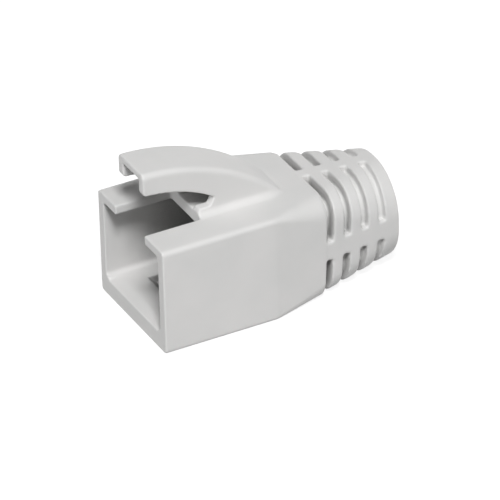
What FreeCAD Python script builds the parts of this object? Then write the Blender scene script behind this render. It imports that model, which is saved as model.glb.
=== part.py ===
import FreeCAD, Part
import math
import os
import re
import Sketcher

from FreeCAD import Placement, Rotation, Vector

# A slip-on strain relief boot for a modular plug, moulded in one piece.
# Millimetres. +X runs from the open plug mouth to the cable end, +Z is up and
# the latch slot is on top. The origin is on the flat underside, at the middle
# of the mouth, so the boot rests on Z = 0.

SIZES = {
    # the plug pocket and the walls around it
    "plug_width": 11.6,
    "plug_height": 8.4,
    "plug_clearance": 0.05,
    "pocket_depth": 10.4,
    "pocket_corner": 0.5,
    "side_wall": 1.15,
    "floor_wall": 2.1,
    "roof_wall": 1.0,
    "box_length": 12.4,
    "top_edge": 0.5,
    "bottom_edge": 0.4,
    # the ramp down to the mouth, at the front of the pocket floor
    "ramp_length": 1.2,
    "ramp_drop": 0.25,
    # the recess in the pocket floor, with a sloping front
    "recess_start": 3.4,
    "recess_length": 4.6,
    "recess_width": 7.2,
    "recess_depth": 1.0,
    "recess_slope": 1.0,
    # the slot for the plug's latch, open at the mouth
    "slot_width": 6.2,
    "slot_length": 6.1,
    # the latch guard hood above the slot: a roof and two skirts
    "hood_width": 5.3,
    "hood_setback": 0.3,
    "hood_rise": 6.35,
    "hood_length": 15.45,
    "hood_root": 0.5,
    "hood_edge": 0.6,
    "hood_base": 0.8,
    "hood_roof": 0.8,
    "skirt_wall": 1.0,
    "skirt_depth": 2.43,
    "skirt_radius": 14.2,
    "channel_length": 8.9,
    "skirt_corner": 0.45,
    # the gap under the skirts and the sill behind the slot, lower between the skirts
    "gap_length": 8.0,
    "sill_height": 0.8,
    "sill_lead": 0.25,
    "sill_slope": 0.5,
    "step_height": 0.35,
    # the tapered tail, with a waist part of the way along it
    "waist_length": 5.9,
    "waist_width": 12.6,
    "waist_height": 11.42,
    "waist_corner": 2.25,
    "boot_length": 27.1,
    "tail_width": 10.18,
    "tail_height": 10.75,
    "tail_rise": 0.16,
    "tail_flat": 0.19,
    "tail_rounding": 0.3,
    # the step down from the waist to the slotted part
    "ring_step": 0.08,
    # the slots round the tail, the ribs across them and the sleeve at their floor
    "collar_length": 2.18,
    "groove_width": 0.78,
    "groove_lean": 3.4,
    "groove_depth": 1.5,
    "last_groove_depth": 0.55,
    "side_rib": 2.1,
    "top_rib": 1.4,
    # the cable bore and the funnel that leads into it
    "cable_radius": 3.4,
    "cable_clearance": 0.1,
    "funnel_length": 5.0,
}
GROOVE_COUNT = 4
REACH = "10"        # how far a cutting outline runs past the outside of the boot
TOUCH = 1e-4        # two places closer than this are the same place

# Sizes that follow from the driving ones.
POCKET_WIDTH = "(plug_width + 2 * plug_clearance)"
POCKET_TOP = "(floor_wall + plug_height + 2 * plug_clearance)"
BOX_WIDTH = "(plug_width + 2 * plug_clearance + 2 * side_wall)"
BOX_HEIGHT = "(floor_wall + plug_height + 2 * plug_clearance + roof_wall)"
AXIS = "(tail_rise + tail_height / 2)"
BORE = "(cable_radius + cable_clearance)"
HOOD_TOP = "(%s + hood_rise)" % BOX_HEIGHT
HOOD_RUN = "(hood_length - hood_setback)"
HOOD_RADIUS = "((%s ^ 2 + hood_rise ^ 2) / (2 * hood_rise))" % HOOD_RUN
RIM = "(%s - skirt_depth)" % HOOD_TOP
WAIST_END = "(box_length + waist_length)"
# The first groove opens at the waist, the last one ends at the collar and the rest are spaced evenly.
FIRST_GROOVE = "(%s + groove_width / 2)" % WAIST_END
LAST_GROOVE = "(boot_length - collar_length)"

# The slotted part's width, low and high edge and corner radius, where it starts and where it ends.
RING_SIZE = ("(waist_width - 2 * ring_step)", "ring_step", "(waist_height - ring_step)", "waist_corner")
TAIL_CORNER = "(min(tail_width; tail_height) / 2 - tail_flat)"
TAIL_SIZE = ("tail_width", "tail_rise", "(tail_rise + tail_height)", TAIL_CORNER)

doc = FreeCAD.newDocument("strain_relief_boot")
sheet = doc.addObject("Spreadsheet::Sheet", "Sizes")
for row, (alias, size) in enumerate(SIZES.items(), start=1):
    sheet.set("A%d" % row, alias)
    sheet.set("B%d" % row, str(size))
    sheet.setAlias("B%d" % row, alias)
doc.recompute()


def bound(formula):
    """A formula of sizes, as an expression on the sheet."""
    return re.sub(r"[a-z]+(?:_[a-z]+)+", lambda word: "Sizes." + word.group(0), formula)


def number(formula):
    """What a formula of sizes comes to."""
    answer = sheet.evalExpression(bound(formula))
    return float(getattr(answer, "Value", answer))


def new_sketch(body, name, role, offset=None):
    """A sketch on one of the body's own origin planes, moved along the plane's normal."""
    sketch = body.newObject("Sketcher::SketchObject", name)
    plane = [feature for feature in body.Origin.OriginFeatures if feature.Role == role][0]
    sketch.AttachmentSupport = [(plane, "")]
    sketch.MapMode = "FlatFace"
    if offset is not None:
        sketch.setExpression("AttachmentOffset.Base.z", bound(offset))
    return sketch


def add_outline(sketch, corners):
    """Draw one closed outline, each corner and radius held by a formula.

    A corner is (across, up, radius): radius is None for a straight edge to the
    next corner, and a formula for an arc to it that bulges outward as the
    outline runs anticlockwise. A radius that starts with "-" bulges inward.
    """
    places = [Vector(number(across), number(up), 0) for across, up, radius in corners]
    first = sketch.GeometryCount
    ends = []
    for index, (across, up, radius) in enumerate(corners):
        start = places[index]
        finish = places[(index + 1) % len(places)]
        if radius is None:
            sketch.addGeometry(Part.LineSegment(start, finish), False)
            ends.append((1, 2))
            continue
        inward = radius.startswith("-")
        reach = number(radius.lstrip("-"))
        chord = finish - start
        left = Vector(-chord.y, chord.x, 0).normalize()
        height = math.sqrt(max(reach ** 2 - (chord.Length / 2) ** 2, 0))
        centre = (start + finish) / 2 + left * (-height if inward else height)
        begin, end = (finish, start) if inward else (start, finish)
        circle = Part.Circle(centre, Vector(0, 0, 1), reach)
        begin_angle = math.atan2(begin.y - centre.y, begin.x - centre.x)
        end_angle = math.atan2(end.y - centre.y, end.x - centre.x)
        sketch.addGeometry(Part.ArcOfCircle(circle, begin_angle, end_angle), False)
        ends.append((2, 1) if inward else (1, 2))
    for index, (across, up, radius) in enumerate(corners):
        edge = first + index
        following = (index + 1) % len(corners)
        join = Sketcher.Constraint("Coincident", edge, ends[index][1], first + following, ends[following][0])
        sketch.addConstraint(join)
        for direction, formula, place in (("DistanceX", across, places[index].x),
                                          ("DistanceY", up, places[index].y)):
            held = Sketcher.Constraint(direction, -1, 1, edge, ends[index][0], place)
            row = sketch.addConstraint(held)
            sketch.setExpression("Constraints[%d]" % row, bound(formula))
        if radius is not None:
            reach = radius.lstrip("-")
            row = sketch.addConstraint(Sketcher.Constraint("Radius", edge, number(reach)))
            sketch.setExpression("Constraints[%d]" % row, bound(reach))


def add_circle(sketch, up, radius):
    """Draw one circle on the sketch's upright axis."""
    circle = Part.Circle(Vector(0, number(up), 0), Vector(0, 0, 1), number(radius))
    edge = sketch.addGeometry(circle, False)
    sketch.addConstraint(Sketcher.Constraint("PointOnObject", edge, 3, -2))
    row = sketch.addConstraint(Sketcher.Constraint("DistanceY", -1, 1, edge, 3, number(up)))
    sketch.setExpression("Constraints[%d]" % row, bound(up))
    row = sketch.addConstraint(Sketcher.Constraint("Radius", edge, number(radius)))
    sketch.setExpression("Constraints[%d]" % row, bound(radius))


def rounded_section(body, name, place, width, bottom, top, low, high):
    """A rectangle across the boot, with one radius for its low corners and one for its high ones."""
    sketch = new_sketch(body, name, "YZ_Plane", place)
    half = "(%s / 2)" % width
    add_outline(sketch, [
        ("-%s + %s" % (half, low), bottom, None),
        ("%s - %s" % (half, low), bottom, low),
        (half, "%s + %s" % (bottom, low), None),
        (half, "%s - %s" % (top, high), high),
        ("%s - %s" % (half, high), top, None),
        ("-%s + %s" % (half, high), top, high),
        ("-%s" % half, "%s - %s" % (top, high), None),
        ("-%s" % half, "%s + %s" % (bottom, low), low),
    ])
    return sketch


def loft(body, name, kind, first, last):
    """A straight-sided loft between two sections."""
    feature = body.newObject(kind, name)
    feature.Profile = first
    feature.Sections = [last]
    feature.Ruled = True
    doc.recompute()
    return feature


def extrude(body, name, kind, sketch, length, symmetric=False, backward=False):
    """A pad or pocket of a sketch, one way or evenly both ways."""
    feature = body.newObject(kind, name)
    feature.Profile = sketch
    if symmetric:
        feature.SideType = "Symmetric"
    feature.Reversed = backward
    feature.setExpression("Length", bound(length))
    doc.recompute()
    return feature


def round_edges(body, name, radius, wanted):
    """Round every edge of the body so far that a test of its points picks out."""
    base = body.Tip
    names = []
    for index, edge in enumerate(base.Shape.Edges, start=1):
        low, high = edge.ParameterRange
        points = [edge.valueAt(low + (high - low) * step / 4) for step in range(5)]
        if wanted(points):
            names.append("Edge%d" % index)
    feature = body.newObject("PartDesign::Fillet", name)
    feature.Base = (base, names)
    feature.setExpression("Radius", bound(radius))
    doc.recompute()
    return feature


def build_envelope(body):
    """The straight box and the tapering tail behind it, both solid."""
    box_size = (BOX_WIDTH, "0", BOX_HEIGHT, "bottom_edge", "top_edge")
    mouth = rounded_section(body, "MouthSection", "0", *box_size)
    extrude(body, "Box", "PartDesign::Pad", mouth, "box_length")
    root = rounded_section(body, "BoxEnd", "box_length", *box_size)
    waist = rounded_section(body, "WaistSection", WAIST_END, "waist_width", "0", "waist_height",
                            "waist_corner", "waist_corner")
    loft(body, "Waist", "PartDesign::AdditiveLoft", root, waist)
    start = rounded_section(body, "TailStart", WAIST_END, *RING_SIZE, RING_SIZE[-1])
    end = rounded_section(body, "TailEnd", "boot_length", *TAIL_SIZE, TAIL_SIZE[-1])
    loft(body, "Tail", "PartDesign::AdditiveLoft", start, end)


def build_hood(body):
    """The latch guard: a rounded fin on the top, before the gap and the channel are cut."""
    side = new_sketch(body, "HoodSide", "XZ_Plane")
    root = "(min(%s; waist_height) - hood_root)" % BOX_HEIGHT
    drop = "(%s - %s + %s)" % (root, HOOD_TOP, HOOD_RADIUS)
    rear = "hood_setback + sqrt(%s ^ 2 - %s ^ 2)" % (HOOD_RADIUS, drop)
    add_outline(side, [
        ("hood_setback", root, None),
        (rear, root, HOOD_RADIUS),
        ("hood_setback", HOOD_TOP, None),
    ])
    extrude(body, "Hood", "PartDesign::Pad", side, "hood_width", symmetric=True)
    half = number("hood_width / 2")
    top = number(BOX_HEIGHT)
    front = number("hood_setback")

    def along_roof(points):
        return all(abs(abs(p.y) - half) < TOUCH and p.z > top - 1 for p in points) \
            and points[2].x > front + TOUCH and points[2].z > top + 1

    round_edges(body, "HoodEdges", "hood_edge", along_roof)
    low = number(root) + TOUCH
    high = max(top, number("waist_height")) + TOUCH

    def along_base(points):
        inside = all(abs(p.y) < half + TOUCH and low < p.z < high for p in points)
        return inside and max(p.x for p in points) > front + TOUCH and points[2].x < number("hood_length + 1") \
            and not all(abs(p.x - number("box_length")) < TOUCH for p in points)

    round_edges(body, "HoodBase", "hood_base", along_base)


def cut_side(body, name, corners, width):
    """Cut an outline seen from the side, evenly both ways from the middle."""
    sketch = new_sketch(body, name + "Side", "XZ_Plane")
    add_outline(sketch, corners)
    return extrude(body, name, "PartDesign::Pocket", sketch, width, symmetric=True)


def cut_hood(body):
    """The gap under the skirts, the channel for the latch and the slot in the roof wall."""
    rim_end = "(%s - skirt_radius + sqrt(skirt_radius ^ 2 - (gap_length - hood_setback) ^ 2))" % RIM
    sill = "(%s + sill_height)" % BOX_HEIGHT
    step = "(%s + step_height)" % BOX_HEIGHT
    cut_side(body, "Gap", [
        ("-" + REACH, BOX_HEIGHT, None),
        ("slot_length", BOX_HEIGHT, None),
        ("slot_length", step, None),
        ("slot_length + sill_lead", sill, None),
        ("gap_length - sill_slope", sill, None),
        ("gap_length", rim_end, "skirt_radius"),
        ("hood_setback", RIM, None),
        ("-" + REACH, RIM, None),
    ], BOX_WIDTH)
    inner = "(%s - hood_roof)" % HOOD_RADIUS
    centre = "(%s - %s)" % (HOOD_TOP, HOOD_RADIUS)
    channel_end = "(%s + sqrt(%s ^ 2 - (channel_length - hood_setback) ^ 2))" % (centre, inner)
    cut_side(body, "Channel", [
        ("-" + REACH, BOX_HEIGHT, None),
        ("slot_length", BOX_HEIGHT, None),
        ("slot_length", step, None),
        ("channel_length", step, None),
        ("channel_length", channel_end, inner),
        ("hood_setback", "%s - hood_roof" % HOOD_TOP, None),
        ("-" + REACH, "%s - hood_roof" % HOOD_TOP, None),
    ], "hood_width - 2 * skirt_wall")
    cut_side(body, "Slot", [
        ("-" + REACH, "%s - pocket_corner" % POCKET_TOP, None),
        ("slot_length", "%s - pocket_corner" % POCKET_TOP, None),
        ("slot_length", BOX_HEIGHT, None),
        ("-" + REACH, BOX_HEIGHT, None),
    ], "slot_width")
    front, rim = number("hood_setback"), number(RIM)

    def at_corner(points):
        return all(abs(p.x - front) < TOUCH and abs(p.z - rim) < TOUCH for p in points)

    round_edges(body, "SkirtCorners", "skirt_corner", at_corner)


def cut_inside(body):
    """The plug pocket with its ramp and recess, the funnel behind it and the cable bore."""
    pocket = rounded_section(body, "PocketSection", "0", POCKET_WIDTH, "floor_wall", POCKET_TOP,
                             "pocket_corner", "pocket_corner")
    extrude(body, "Pocket", "PartDesign::Pocket", pocket, "pocket_depth", backward=True)
    cut_side(body, "Ramp", [
        ("0", "floor_wall - ramp_drop", None),
        ("ramp_length", "floor_wall", None),
        ("ramp_length", "floor_wall + pocket_corner", None),
        ("0", "floor_wall + pocket_corner", None),
    ], "%s - 2 * pocket_corner" % POCKET_WIDTH)
    cut_side(body, "Recess", [
        ("recess_start + recess_slope", "floor_wall - recess_depth", None),
        ("recess_start + recess_length", "floor_wall - recess_depth", None),
        ("recess_start + recess_length", "floor_wall + pocket_corner", None),
        ("recess_start", "floor_wall + pocket_corner", None),
        ("recess_start", "floor_wall", None),
    ], "recess_width")
    wide = rounded_section(body, "FunnelMouth", "pocket_depth", POCKET_WIDTH, "floor_wall", POCKET_TOP,
                           "pocket_corner", "pocket_corner")
    narrow = new_sketch(body, "FunnelEnd", "YZ_Plane", "pocket_depth + funnel_length")
    sides = []
    for turn in (0, 90, 180, 270):
        for angle in (turn - 95, turn - 85):
            across = "%s * cos(%d)" % (BORE, angle)
            up = "%s + %s * sin(%d)" % (AXIS, BORE, angle)
            sides.append((across, up, BORE))
    add_outline(narrow, sides)
    loft(body, "Funnel", "PartDesign::SubtractiveLoft", wide, narrow)
    hole = new_sketch(body, "BoreSection", "YZ_Plane", "boot_length")
    add_circle(hole, AXIS, BORE)
    extrude(body, "Bore", "PartDesign::Pocket", hole, "boot_length - pocket_depth - funnel_length")


def outside_size(place):
    """The tail's width, low and high edge and corner radius at a place along it, as formulas."""
    share = "((%s - %s) / (boot_length - %s))" % (place, WAIST_END, WAIST_END)
    ends = zip(RING_SIZE, TAIL_SIZE)
    return ["(%s + (%s - %s) * %s)" % (front, back, front, share) for front, back in ends]


def sleeve_section(body, name, place, depth):
    """The tail's outside at a place, moved inward by a depth."""
    width, bottom, top, corner = outside_size(place)
    inner = "(%s - %s)" % (corner, depth)
    return rounded_section(body, name, place, "(%s - 2 * %s)" % (width, depth), "(%s + %s)" % (bottom, depth),
                           "(%s - %s)" % (top, depth), inner, inner)


def cut_grooves(body):
    """Four slots round the last groove, the same again for each groove before it, and their floors.

    The slots lean back a little towards the top, about the middle of the tail.
    """
    sketch = new_sketch(body, "GrooveSection", "YZ_Plane", LAST_GROOVE)
    sketch.AttachmentOffset = Placement(Vector(0, 0, 0), Rotation(Vector(1, 0, 0), number("groove_lean")))
    sketch.setExpression("AttachmentOffset.Base.y", bound(AXIS))
    sketch.setExpression("AttachmentOffset.Rotation.Angle", bound("groove_lean"))
    for left, right in (("-" + REACH, "-top_rib / 2"), ("top_rib / 2", REACH)):
        for low, high in (("-" + REACH, "-side_rib / 2"), ("side_rib / 2", REACH)):
            add_outline(sketch, [(left, low, None), (right, low, None), (right, high, None), (left, high, None)])
    groove = extrude(body, "Groove", "PartDesign::Pocket", sketch, "groove_width", symmetric=True)
    pattern = body.newObject("PartDesign::LinearPattern", "Grooves")
    pattern.Originals = [groove]
    axis = [feature for feature in body.Origin.OriginFeatures if feature.Role == "X_Axis"][0]
    pattern.Direction = (axis, [""])
    pattern.Reversed = True
    pattern.setExpression("Length", bound("%s - %s" % (LAST_GROOVE, FIRST_GROOVE)))
    pattern.Occurrences = GROOVE_COUNT
    body.Tip = pattern
    doc.recompute()
    lean = "(%s * tan(groove_lean) + groove_width)" % AXIS
    first = sleeve_section(body, "SleeveStart", "(%s - %s)" % (FIRST_GROOVE, lean), "groove_depth")
    last = sleeve_section(body, "SleeveEnd", "(%s + %s)" % (LAST_GROOVE, lean), "last_groove_depth")
    loft(body, "Sleeve", "PartDesign::AdditiveLoft", first, last)


def round_tail_end(body):
    """The rounding of the outer edge at the cable end."""
    end = number("boot_length")
    ring = number("cable_radius + cable_clearance") + 0.5

    def at_end(points):
        return all(abs(p.x - end) < TOUCH and math.hypot(p.y, p.z - number(AXIS)) > ring for p in points)

    round_edges(body, "TailRounding", "tail_rounding", at_end)


boot = doc.addObject("PartDesign::Body", "Boot")
boot.Label = "boot"
build_envelope(boot)
round_tail_end(boot)
cut_grooves(boot)
build_hood(boot)
cut_hood(boot)
cut_inside(boot)

doc.recompute()
for item in doc.Objects:
    if "Invalid" in item.State or "Error" in item.State:
        raise RuntimeError("%s failed: %s" % (item.Name, item.State))
for node in (boot,):
    if node.Shape.isNull() or not node.Shape.isValid():
        raise RuntimeError("%s has no valid shape" % node.Label)
    if len(node.Shape.Solids) != 1:
        raise RuntimeError("%s is %d solids" % (node.Label, len(node.Shape.Solids)))

os.makedirs("parts", exist_ok=True)
for node in (boot,):
    node.Shape.exportStep("parts/%s.step" % node.Label)
    box = node.Shape.optimalBoundingBox()
    print("%s: %.2f x %.2f x %.2f mm, %.1f mm3"
          % (node.Label, box.XLength, box.YLength, box.ZLength, node.Shape.Volume))
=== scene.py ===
import math

import bpy
from mathutils import Matrix, Vector


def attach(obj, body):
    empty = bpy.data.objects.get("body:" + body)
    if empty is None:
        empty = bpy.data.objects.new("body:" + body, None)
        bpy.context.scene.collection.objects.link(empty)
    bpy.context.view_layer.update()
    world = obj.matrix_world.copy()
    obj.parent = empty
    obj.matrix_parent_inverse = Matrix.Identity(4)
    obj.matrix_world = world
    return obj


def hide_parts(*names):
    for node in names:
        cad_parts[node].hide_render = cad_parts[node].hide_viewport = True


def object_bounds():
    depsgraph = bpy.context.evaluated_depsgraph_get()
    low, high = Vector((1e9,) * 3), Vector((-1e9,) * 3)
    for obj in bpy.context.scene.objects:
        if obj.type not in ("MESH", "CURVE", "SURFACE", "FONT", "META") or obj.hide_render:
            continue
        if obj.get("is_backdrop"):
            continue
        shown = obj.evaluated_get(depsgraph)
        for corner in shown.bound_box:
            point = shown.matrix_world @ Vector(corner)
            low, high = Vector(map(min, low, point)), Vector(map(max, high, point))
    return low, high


# The strain relief boot on a white floor. Metres, +X from the plug mouth to the
# cable end, +Z up, the underside on Z = 0.

MM = 0.001

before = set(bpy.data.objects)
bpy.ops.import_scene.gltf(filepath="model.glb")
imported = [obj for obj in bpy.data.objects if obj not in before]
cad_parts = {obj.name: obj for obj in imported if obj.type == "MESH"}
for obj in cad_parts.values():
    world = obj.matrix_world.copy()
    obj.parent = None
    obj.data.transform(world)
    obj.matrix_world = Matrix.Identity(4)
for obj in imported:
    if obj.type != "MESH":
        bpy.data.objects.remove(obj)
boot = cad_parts["boot"]
bounds_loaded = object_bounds()
scene = bpy.context.scene


# ---------------------------------------------------------------- the moulding

VOXEL = 0.09         # mm, the grid that the softened copy is made on
SOFTENING = 12       # smoothing passes on that grid: rounds the edges by about 0.25 mm
RING_SOFTENING = 24  # further passes over the rings, which are rounder
RINGS = (18.2, 26.0) # mm along the boot, from the waist to the middle of the collar
MOST_FACES = 180000  # triangles in the softened copy


def softened(node, name):
    """A copy of a node with the soft edges of a moulding in place of its sharp ones."""
    piece = bpy.data.objects.new(name, node.data.copy())
    scene.collection.objects.link(piece)
    piece.data.transform(Matrix.Scale(1 / MM, 4))
    bpy.context.view_layer.objects.active = piece
    piece.select_set(True)

    def changed(kind, **settings):
        step = piece.modifiers.new("step", kind)
        for setting, value in settings.items():
            setattr(step, setting, value)
        bpy.ops.object.modifier_apply(modifier=step.name)

    changed("REMESH", mode="VOXEL", voxel_size=VOXEL, use_smooth_shade=True)
    changed("SMOOTH", factor=0.5, iterations=SOFTENING)
    rings = piece.vertex_groups.new(name="rings")
    rings.add([v.index for v in piece.data.vertices if RINGS[0] < v.co.x < RINGS[1]], 1.0, "REPLACE")
    changed("SMOOTH", factor=0.5, iterations=RING_SOFTENING, vertex_group="rings")
    changed("DECIMATE", ratio=min(1.0, MOST_FACES / (2 * len(piece.data.polygons))))
    piece.data.transform(Matrix.Scale(MM, 4))
    for face in piece.data.polygons:
        face.use_smooth = True
    piece.select_set(False)
    return piece


# ---------------------------------------------------------------- materials

TONES = ((203, 203, 202), (209, 208, 207))   # the grey, clouding between the two, as sRGB
CLOUD_SCALE = 170                            # per metre, for each texture below
GLOSS_SCALE = 420
GRAIN_SCALE = 5200
ROUGHNESS = (0.44, 0.56)
GRAIN_DEPTH = 0.02 * MM
GRAIN_STRENGTH = 0.12
SHEEN = 0.3
PAINTED_SHADE_REACH = 15 * MM                       # how far a wall still shades a recess, for the painted shade
PAINTED_SHADE_OPENNESS = (0.10, 0.28)               # painted shade is full below the first, none above the second
PAINTED_SHADE_TONE = 0.46                           # of the colour, where the painted shade is full

PAPER = 0.45         # grey that the ground is to the boot
PAPER_GLOW = 0.85    # where it is seen: its own light, and the share that shows a shadow
PAPER_SHADOW = 0.28


def node_material(name):
    material = bpy.data.materials.new(name)
    material.use_nodes = True
    tree = material.node_tree
    shader = tree.nodes["Principled BSDF"]
    return material, tree, shader


def linear(*rgb):
    """An sRGB colour of 0 to 255 as linear values."""
    out = []
    for value in rgb:
        value /= 255
        out.append(value / 12.92 if value <= 0.04045 else ((value + 0.055) / 1.055) ** 2.4)
    return (*out, 1.0)


def plastic():
    """Satin light-grey moulded plastic: slight clouding, a fine grain, uneven gloss and painted shade
    in the deep recesses.
    """
    material, tree, shader = node_material("boot_plastic")
    place = tree.nodes.new("ShaderNodeTexCoord")

    def noise(scale, detail, roughness):
        node = tree.nodes.new("ShaderNodeTexNoise")
        node.inputs["Scale"].default_value = scale
        node.inputs["Detail"].default_value = detail
        node.inputs["Roughness"].default_value = roughness
        tree.links.new(place.outputs["Object"], node.inputs["Vector"])
        return node

    cloud = noise(CLOUD_SCALE, 3, 0.5)
    colour = tree.nodes.new("ShaderNodeValToRGB")
    for stop, position, tone in zip(colour.color_ramp.elements, (0.3, 0.7), TONES):
        stop.position = position
        stop.color = linear(*tone)
    tree.links.new(cloud.outputs["Fac"], colour.inputs["Fac"])

    # painted shade: the colour is darkened in the deep recesses, where the walls would keep light out
    recess_occlusion = tree.nodes.new("ShaderNodeAmbientOcclusion")
    recess_occlusion.inputs["Distance"].default_value = PAINTED_SHADE_REACH
    recess_occlusion.samples = 16
    recess_occlusion.only_local = True
    shade = tree.nodes.new("ShaderNodeMapRange")
    shade.interpolation_type = "SMOOTHSTEP"
    shade.inputs["From Min"].default_value = PAINTED_SHADE_OPENNESS[0]
    shade.inputs["From Max"].default_value = PAINTED_SHADE_OPENNESS[1]
    shade.inputs["To Min"].default_value = PAINTED_SHADE_TONE
    shade.inputs["To Max"].default_value = 1.0
    tree.links.new(recess_occlusion.outputs["AO"], shade.inputs["Value"])
    # the painted shade multiplies the colour
    painted_shade = tree.nodes.new("ShaderNodeMix")
    painted_shade.data_type = "RGBA"
    painted_shade.blend_type = "MULTIPLY"
    painted_shade.inputs["Factor"].default_value = 1.0
    tree.links.new(colour.outputs["Color"], painted_shade.inputs["A"])
    tree.links.new(shade.outputs["Result"], painted_shade.inputs["B"])
    tree.links.new(painted_shade.outputs["Result"], shader.inputs["Base Color"])

    gloss = noise(GLOSS_SCALE, 4, 0.55)
    spread = tree.nodes.new("ShaderNodeMapRange")
    spread.inputs["To Min"].default_value = ROUGHNESS[0]
    spread.inputs["To Max"].default_value = ROUGHNESS[1]
    tree.links.new(gloss.outputs["Fac"], spread.inputs["Value"])
    tree.links.new(spread.outputs["Result"], shader.inputs["Roughness"])

    grain = noise(GRAIN_SCALE, 2, 0.5)
    bump = tree.nodes.new("ShaderNodeBump")
    bump.inputs["Strength"].default_value = GRAIN_STRENGTH
    bump.inputs["Distance"].default_value = GRAIN_DEPTH
    tree.links.new(grain.outputs["Fac"], bump.inputs["Height"])
    tree.links.new(bump.outputs["Normal"], shader.inputs["Normal"])
    shader.inputs["Specular IOR Level"].default_value = SHEEN
    return material


def when_seen(tree):
    """One where a ray comes from the camera, a reflection or a clear part, and nought elsewhere."""
    ray = tree.nodes.new("ShaderNodeLightPath")
    last = ray.outputs["Is Camera Ray"]
    for kind in ("Is Glossy Ray", "Is Transmission Ray"):
        either = tree.nodes.new("ShaderNodeMath")
        either.operation = "MAXIMUM"
        tree.links.new(last, either.inputs[0])
        tree.links.new(ray.outputs[kind], either.inputs[1])
        last = either.outputs[0]
    return last


def paper():
    """Ground that is white wherever it is seen, apart from the boot's shadow, with a weak bounce."""
    material, tree, shader = node_material("ground_paper")
    shader.inputs["Roughness"].default_value = 0.9
    shader.inputs["Base Color"].default_value = (PAPER, PAPER, PAPER, 1)
    glow = tree.nodes.new("ShaderNodeEmission")
    glow.inputs["Strength"].default_value = PAPER_GLOW
    dim = tree.nodes.new("ShaderNodeBsdfDiffuse")
    dim.inputs["Color"].default_value = (PAPER_SHADOW, PAPER_SHADOW, PAPER_SHADOW, 1)
    white = tree.nodes.new("ShaderNodeAddShader")
    tree.links.new(glow.outputs[0], white.inputs[0])
    tree.links.new(dim.outputs[0], white.inputs[1])
    choice = tree.nodes.new("ShaderNodeMixShader")
    tree.links.new(when_seen(tree), choice.inputs["Fac"])
    tree.links.new(shader.outputs[0], choice.inputs[1])
    tree.links.new(white.outputs[0], choice.inputs[2])
    tree.links.new(choice.outputs[0], tree.nodes["Material Output"].inputs["Surface"])
    return material


skin = softened(boot, "boot_skin")
skin.data.materials.clear()
skin.data.materials.append(plastic())
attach(skin, "root")
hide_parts("boot")


# ---------------------------------------------------------------- ground

GROUND_HALF = 3.0    # metres, half the side of the ground


def ground():
    mesh = bpy.data.meshes.new("ground")
    half = GROUND_HALF
    corners = [(-half, -half, 0), (half, -half, 0), (half, half, 0), (-half, half, 0)]
    mesh.from_pydata(corners, [], [(0, 1, 2, 3)])
    item = bpy.data.objects.new("ground", mesh)
    scene.collection.objects.link(item)
    mesh.materials.append(paper())
    return item


ground()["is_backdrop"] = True


# ---------------------------------------------------------------- light

AIM = Vector((13, 0, 7)) * MM
LIGHT_DISTANCE = 0.5 # metres from the boot
AMBIENT = 0.03       # strength of the surround, on the boot


def soft_light(name, toward, size, power):
    """A square white light in the direction given from the boot, facing it, in metres and watts."""
    data = bpy.data.lights.new(name, "AREA")
    data.shape = "SQUARE"
    data.size = size
    data.energy = power
    item = bpy.data.objects.new(name, data)
    scene.collection.objects.link(item)
    direction = Vector(toward).normalized()
    item.location = AIM + direction * LIGHT_DISTANCE
    item.rotation_euler = direction.to_track_quat("Z", "Y").to_euler()
    return item


soft_light("key", (-0.28, -0.60, 0.88), 0.12, 2.45)
soft_light("front", (-1.0, 0.0, 0.1), 0.14, 0.62)
soft_light("side", (0.50, -0.85, 0.65), 0.14, 0.38)
# the sides away from the camera, with no sheen along the top
for name, toward in (("far", (0.35, 1.0, 0.10)), ("end", (1.0, 0.25, 0.12))):
    soft_light(name, toward, 0.20, 0.7).visible_glossy = False


def surround():
    """A white surround wherever it is seen, and very little light from it on the boot."""
    world = bpy.data.worlds.new("surround")
    scene.world = world
    world.use_nodes = True
    tree = world.node_tree
    dim = tree.nodes["Background"]
    dim.inputs["Color"].default_value = (1, 1, 1, 1)
    dim.inputs["Strength"].default_value = AMBIENT
    white = tree.nodes.new("ShaderNodeBackground")
    white.inputs["Strength"].default_value = 1.0
    white.inputs["Color"].default_value = (1, 1, 1, 1)
    choice = tree.nodes.new("ShaderNodeMixShader")
    tree.links.new(when_seen(tree), choice.inputs["Fac"])
    tree.links.new(dim.outputs[0], choice.inputs[1])
    tree.links.new(white.outputs[0], choice.inputs[2])
    tree.links.new(choice.outputs[0], tree.nodes["World Output"].inputs["Surface"])


surround()


# ---------------------------------------------------------------- camera

def look(azimuth, elevation, roll, target, distance, scale, place):
    """A camera at a distance from a target, in millimetres and degrees.

    Scale is how many thousandths of the picture's width one millimetre takes at
    the target, and place is where the target stands from the picture's middle,
    in millimetres to the right and up.
    """
    a, e, r = (math.radians(angle) for angle in (azimuth, elevation, roll))
    back = Vector((math.sin(a) * math.cos(e), -math.cos(a) * math.cos(e), math.sin(e)))
    level = Vector((math.cos(a), math.sin(a), 0))
    upright = back.cross(level)
    right = math.cos(r) * level + math.sin(r) * upright
    up = -math.sin(r) * level + math.cos(r) * upright
    data = bpy.data.cameras.new("camera")
    data.sensor_width = 36
    data.lens = scale / 1000 * distance * data.sensor_width
    data.clip_start = 0.01   # metres, in front of the boot and past the ground
    data.clip_end = 20
    item = bpy.data.objects.new("camera", data)
    scene.collection.objects.link(item)
    centre = Vector(target) + back * distance - right * place[0] - up * place[1]
    axes = Matrix((right, up, back)).transposed().to_4x4()
    item.matrix_world = Matrix.Translation(centre * MM) @ axes
    scene.camera = item


look(-26.86, 32.1, -1.74, (13, 0, 6), 600, 20.32, (-0.05, 1.55))

scene.view_settings.view_transform = "Standard"

bounds_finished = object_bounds()


def plain(value):
    if isinstance(value, dict):
        return {key: plain(item) for key, item in value.items()}
    if isinstance(value, (int, float, str)):
        return value
    return [plain(item) for item in value]


{"loaded": plain(bounds_loaded), "finished": plain(bounds_finished)}
